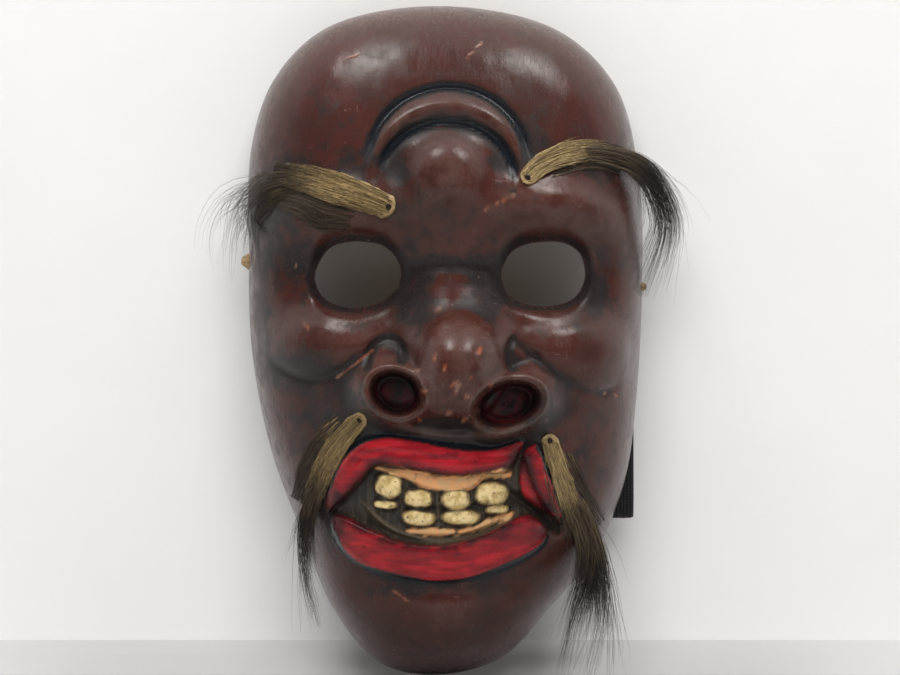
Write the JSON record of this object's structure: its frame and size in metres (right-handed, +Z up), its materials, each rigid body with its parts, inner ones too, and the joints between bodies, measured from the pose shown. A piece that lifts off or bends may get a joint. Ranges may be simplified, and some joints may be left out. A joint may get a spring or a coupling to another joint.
{
  "type": "carved theatre mask",
  "caption": "Hollow carved wooden face mask with open eyes, bared teeth, hide and hair brows and moustaches, and an elastic head strap that swings on side pegs.",
  "frame": {"origin": "centre of the back opening, in the plane of the flat back rim", "axes": "+Z up the face, +Y out of the back towards the wearer, the face looks along -Y"},
  "size_m": [0.1519, 0.0937, 0.2262],
  "materials": {
    "painted_wood": "old dark red-brown paint with a dull shine, rubbed and grimy in the hollows",
    "goat_hide": "dry tan hide with short fibres",
    "goat_hair": "coarse black-brown hair",
    "iron_nail": "dull dark iron",
    "peg_wood": "bare whittled wood",
    "elastic": "woven matt elastic"
  },
  "bodies": {
    "mask": {"mask_shell": "painted_wood", "brow_hide_left": "goat_hide", "brow_hide_right": "goat_hide", "moustache_hide_left": "goat_hide", "moustache_hide_right": "goat_hide", "brow_hair_left": "goat_hair", "brow_hair_right": "goat_hair", "moustache_hair_left": "goat_hair", "moustache_hair_right": "goat_hair", "brow_tack_left": "iron_nail", "brow_tack_right": "iron_nail", "moustache_tack_left": "iron_nail", "moustache_tack_right": "iron_nail", "strap_peg_left": "peg_wood", "strap_peg_right": "peg_wood"},
    "strap": {"elastic_strap": "elastic"}
  },
  "joints": [
    {"name": "strap_swing", "type": "hinge", "parent": "mask", "child": "strap", "pos_m": [0, -0.008, 0.02225], "axis": [0.9979, 0, -0.0643], "range_deg": [0, 110]}
  ]
}
